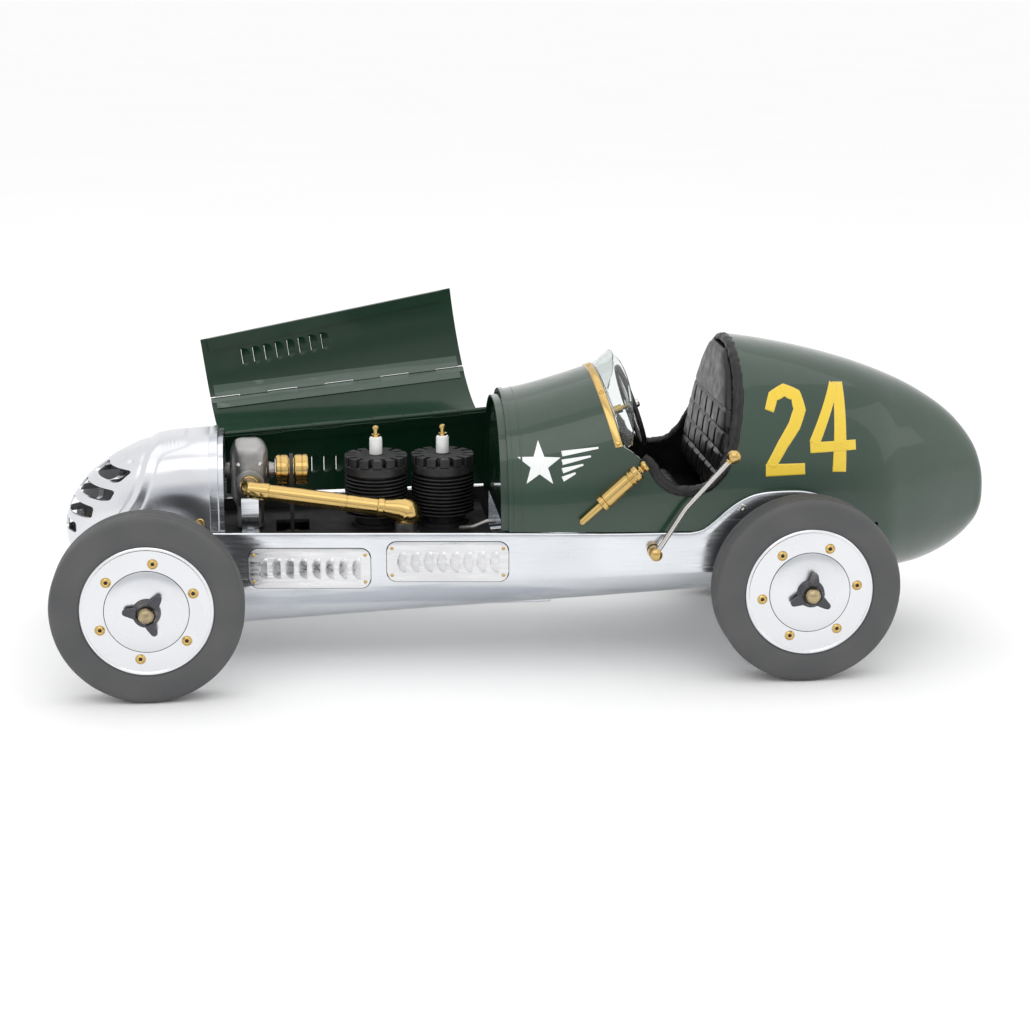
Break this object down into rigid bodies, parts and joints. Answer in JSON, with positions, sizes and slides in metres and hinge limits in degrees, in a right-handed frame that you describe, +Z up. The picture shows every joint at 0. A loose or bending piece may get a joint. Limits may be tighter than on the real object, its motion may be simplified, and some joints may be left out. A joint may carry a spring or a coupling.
{
  "type": "model racing car",
  "caption": "Display model of a vintage single-seat racing car with an opening hinged bonnet, twin-cylinder engine, open cockpit and spinning wheels.",
  "frame": {"origin": "on the ground under the middle of the overall box; the open bonnet reaches past the far wheels, so the wheels' own middle plane is at y = -13.9 mm", "axes": "+X from nose to tail, +Z up, the car's left side faces -Y"},
  "size_m": [0.5557, 0.2454, 0.1944],
  "materials": {
    "polished_aluminium": "polished",
    "louvred_aluminium": "satin",
    "green_paint": "gloss",
    "clear_glass": "clear",
    "brass": "polished",
    "black_leather": "satin",
    "black_enamel": "matt",
    "steering_wheel_black": "satin",
    "steel": "brushed",
    "cast_metal": "cast",
    "ceramic": "glazed",
    "belt_rubber": "matt",
    "tyre_rubber": "matt",
    "wheel_aluminium": "polished",
    "dark_bronze": "patinated"
  },
  "bodies": {
    "chassis": {"rail_near": "polished_aluminium", "rail_far": "polished_aluminium", "pan_belly": "polished_aluminium", "nose_shell": "polished_aluminium", "nose_flange": "polished_aluminium", "body_shell": "green_paint", "firewall": "green_paint", "hood_side_far": "green_paint", "hinge_far_fixed": "green_paint", "windscreen": "clear_glass", "windscreen_strip": "brass", "dashboard": "black_enamel", "steering_column": "brass", "seat_back": "black_leather", "seat_cushion": "black_leather", "cockpit_tub": "black_leather", "cockpit_coaming": "black_leather", "pump_barrel": "brass", "louvre_plate_near_front": "louvred_aluminium", "louvre_plate_near_rear": "louvred_aluminium", "louvre_plate_far_front": "louvred_aluminium", "louvre_plate_far_rear": "louvred_aluminium", "axle_front": "steel", "axle_rear": "steel", "crankcase": "black_enamel", "engine_tray": "black_enamel", "cylinder_front": "black_enamel", "cylinder_rear": "black_enamel", "spark_plug_front": "ceramic", "spark_plug_rear": "ceramic", "intake_pipe": "brass", "carburettor": "cast_metal", "blower": "cast_metal", "blower_bracket": "polished_aluminium", "fuel_line": "cast_metal", "drive_belt": "belt_rubber", "lever_pivot": "brass"},
    "wheel_front_near": {"tyre_front_near": "tyre_rubber", "disc_front_near": "wheel_aluminium", "spinner_front_near": "dark_bronze"},
    "wheel_front_far": {"tyre_front_far": "tyre_rubber", "disc_front_far": "wheel_aluminium", "spinner_front_far": "dark_bronze"},
    "wheel_rear_near": {"tyre_rear_near": "tyre_rubber", "disc_rear_near": "wheel_aluminium", "spinner_rear_near": "dark_bronze"},
    "wheel_rear_far": {"tyre_rear_far": "tyre_rubber", "disc_rear_far": "wheel_aluminium", "spinner_rear_far": "dark_bronze"},
    "bonnet_top": {"hood_top_panel": "green_paint", "hinge_far_moving": "green_paint", "hinge_near_top": "green_paint"},
    "bonnet_side": {"hood_side_near": "green_paint", "hinge_near_side": "green_paint"},
    "handbrake": {"brake_lever": "steel", "brake_knob": "brass"},
    "pump_handle": {"pump_plunger": "brass"},
    "steering": {"steering_wheel": "steering_wheel_black"},
    "crank": {"crank_pulley": "brass"},
    "drum": {"blower_drum": "brass"}
  },
  "joints": [
    {"name": "wheel_front_near_spin", "type": "hinge", "parent": "chassis", "child": "wheel_front_near", "pos_m": [-0.2244, -0.0139, 0.0536], "axis": [0, 1, 0], "continuous": true},
    {"name": "wheel_front_far_spin", "type": "hinge", "parent": "chassis", "child": "wheel_front_far", "pos_m": [-0.2244, -0.0139, 0.0536], "axis": [0, 1, 0], "continuous": true},
    {"name": "wheel_rear_near_spin", "type": "hinge", "parent": "chassis", "child": "wheel_rear_near", "pos_m": [0.1478, -0.0139, 0.0536], "axis": [0, 1, 0], "continuous": true},
    {"name": "wheel_rear_far_spin", "type": "hinge", "parent": "chassis", "child": "wheel_rear_far", "pos_m": [0.1478, -0.0139, 0.0536], "axis": [0, 1, 0], "continuous": true},
    {"name": "bonnet_top_hinge", "type": "hinge", "parent": "chassis", "child": "bonnet_top", "pos_m": [-0.184, 0.0201, 0.12341], "axis": [0.9964, 0.0547, 0.065], "range_deg": [0, 173.5]},
    {"name": "bonnet_side_hinge", "type": "hinge", "parent": "bonnet_top", "child": "bonnet_side", "pos_m": [-0.1919, 0.08726, 0.1306], "axis": [0.9837, 0.1629, 0.0766], "range_deg": [-120, 0]},
    {"name": "handbrake_pivot", "type": "hinge", "parent": "chassis", "child": "handbrake", "pos_m": [0.0628, -0.08782, 0.0719], "axis": [0, 1, 0], "range_deg": [-30, 10]},
    {"name": "pump_slide", "type": "slide", "parent": "chassis", "child": "pump_handle", "axis": [0.7474, 0, 0.6644], "range_m": [0, 0.012]},
    {"name": "steering_turn", "type": "hinge", "parent": "chassis", "child": "steering", "pos_m": [0.059, -0.0139, 0.1436], "axis": [0.9455, 0, 0.3256], "range_deg": [-135, 135]},
    {"name": "crank_spin", "type": "hinge", "parent": "chassis", "child": "crank", "pos_m": [-0.143, -0.0139, 0.06], "axis": [1, 0, 0], "continuous": true},
    {"name": "blower_drum_spin", "type": "hinge", "parent": "chassis", "child": "drum", "pos_m": [-0.143, -0.0139, 0.1088], "axis": [1, 0, 0], "continuous": true}
  ],
  "couplings": [
    {"joint": "blower_drum_spin", "follows": "crank_spin", "ratio": 1.3333}
  ]
}
